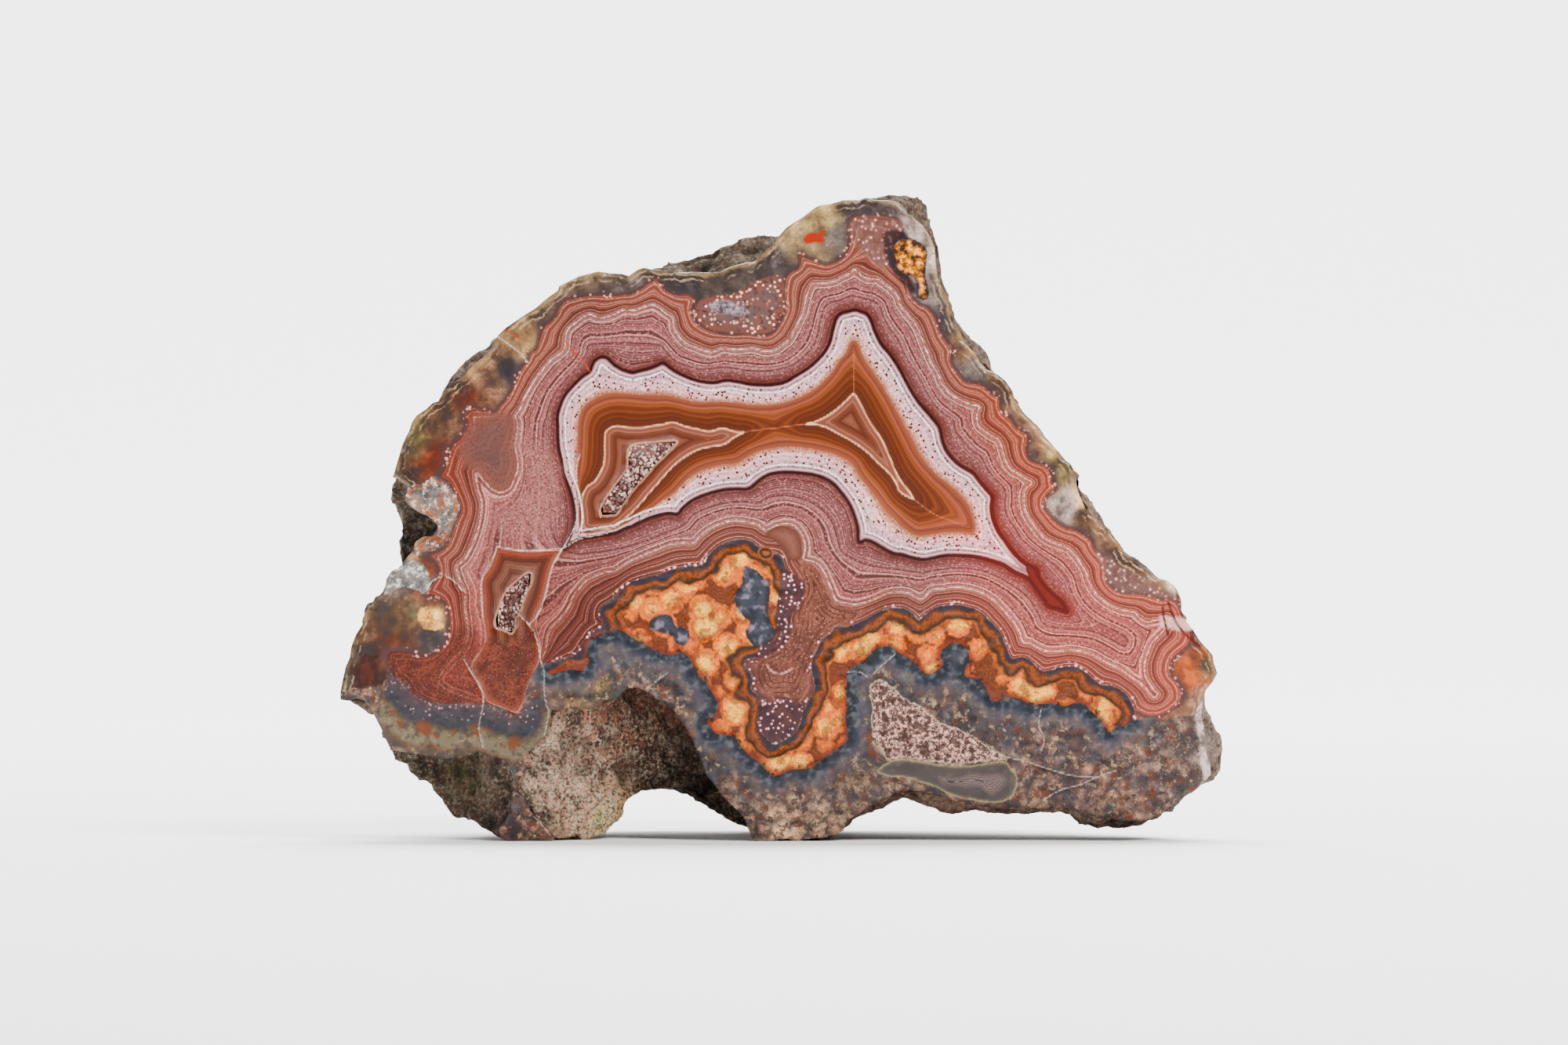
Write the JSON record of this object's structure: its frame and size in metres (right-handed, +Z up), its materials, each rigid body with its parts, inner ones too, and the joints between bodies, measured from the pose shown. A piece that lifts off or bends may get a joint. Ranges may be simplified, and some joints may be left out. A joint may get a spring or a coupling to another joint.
{
  "type": "laguna agate",
  "caption": "Half of a banded agate nodule with its host rock, cut and polished on one face, with crystal-lined pockets, standing on its broken base.",
  "frame": {"origin": "on the surface the stone stands on, under the middle of its bounding box", "axes": "+Z up, the polished cut face looks along -Y, +X to the right as seen from the front"},
  "size_m": [0.1, 0.042, 0.0732],
  "materials": {
    "agate": "polished",
    "host_rock": "matte",
    "quartz": "gloss"
  },
  "bodies": {
    "root": {"agate": "agate", "upper_quartz_druse": "quartz", "lower_quartz_druse": "quartz"}
  },
  "joints": []
}
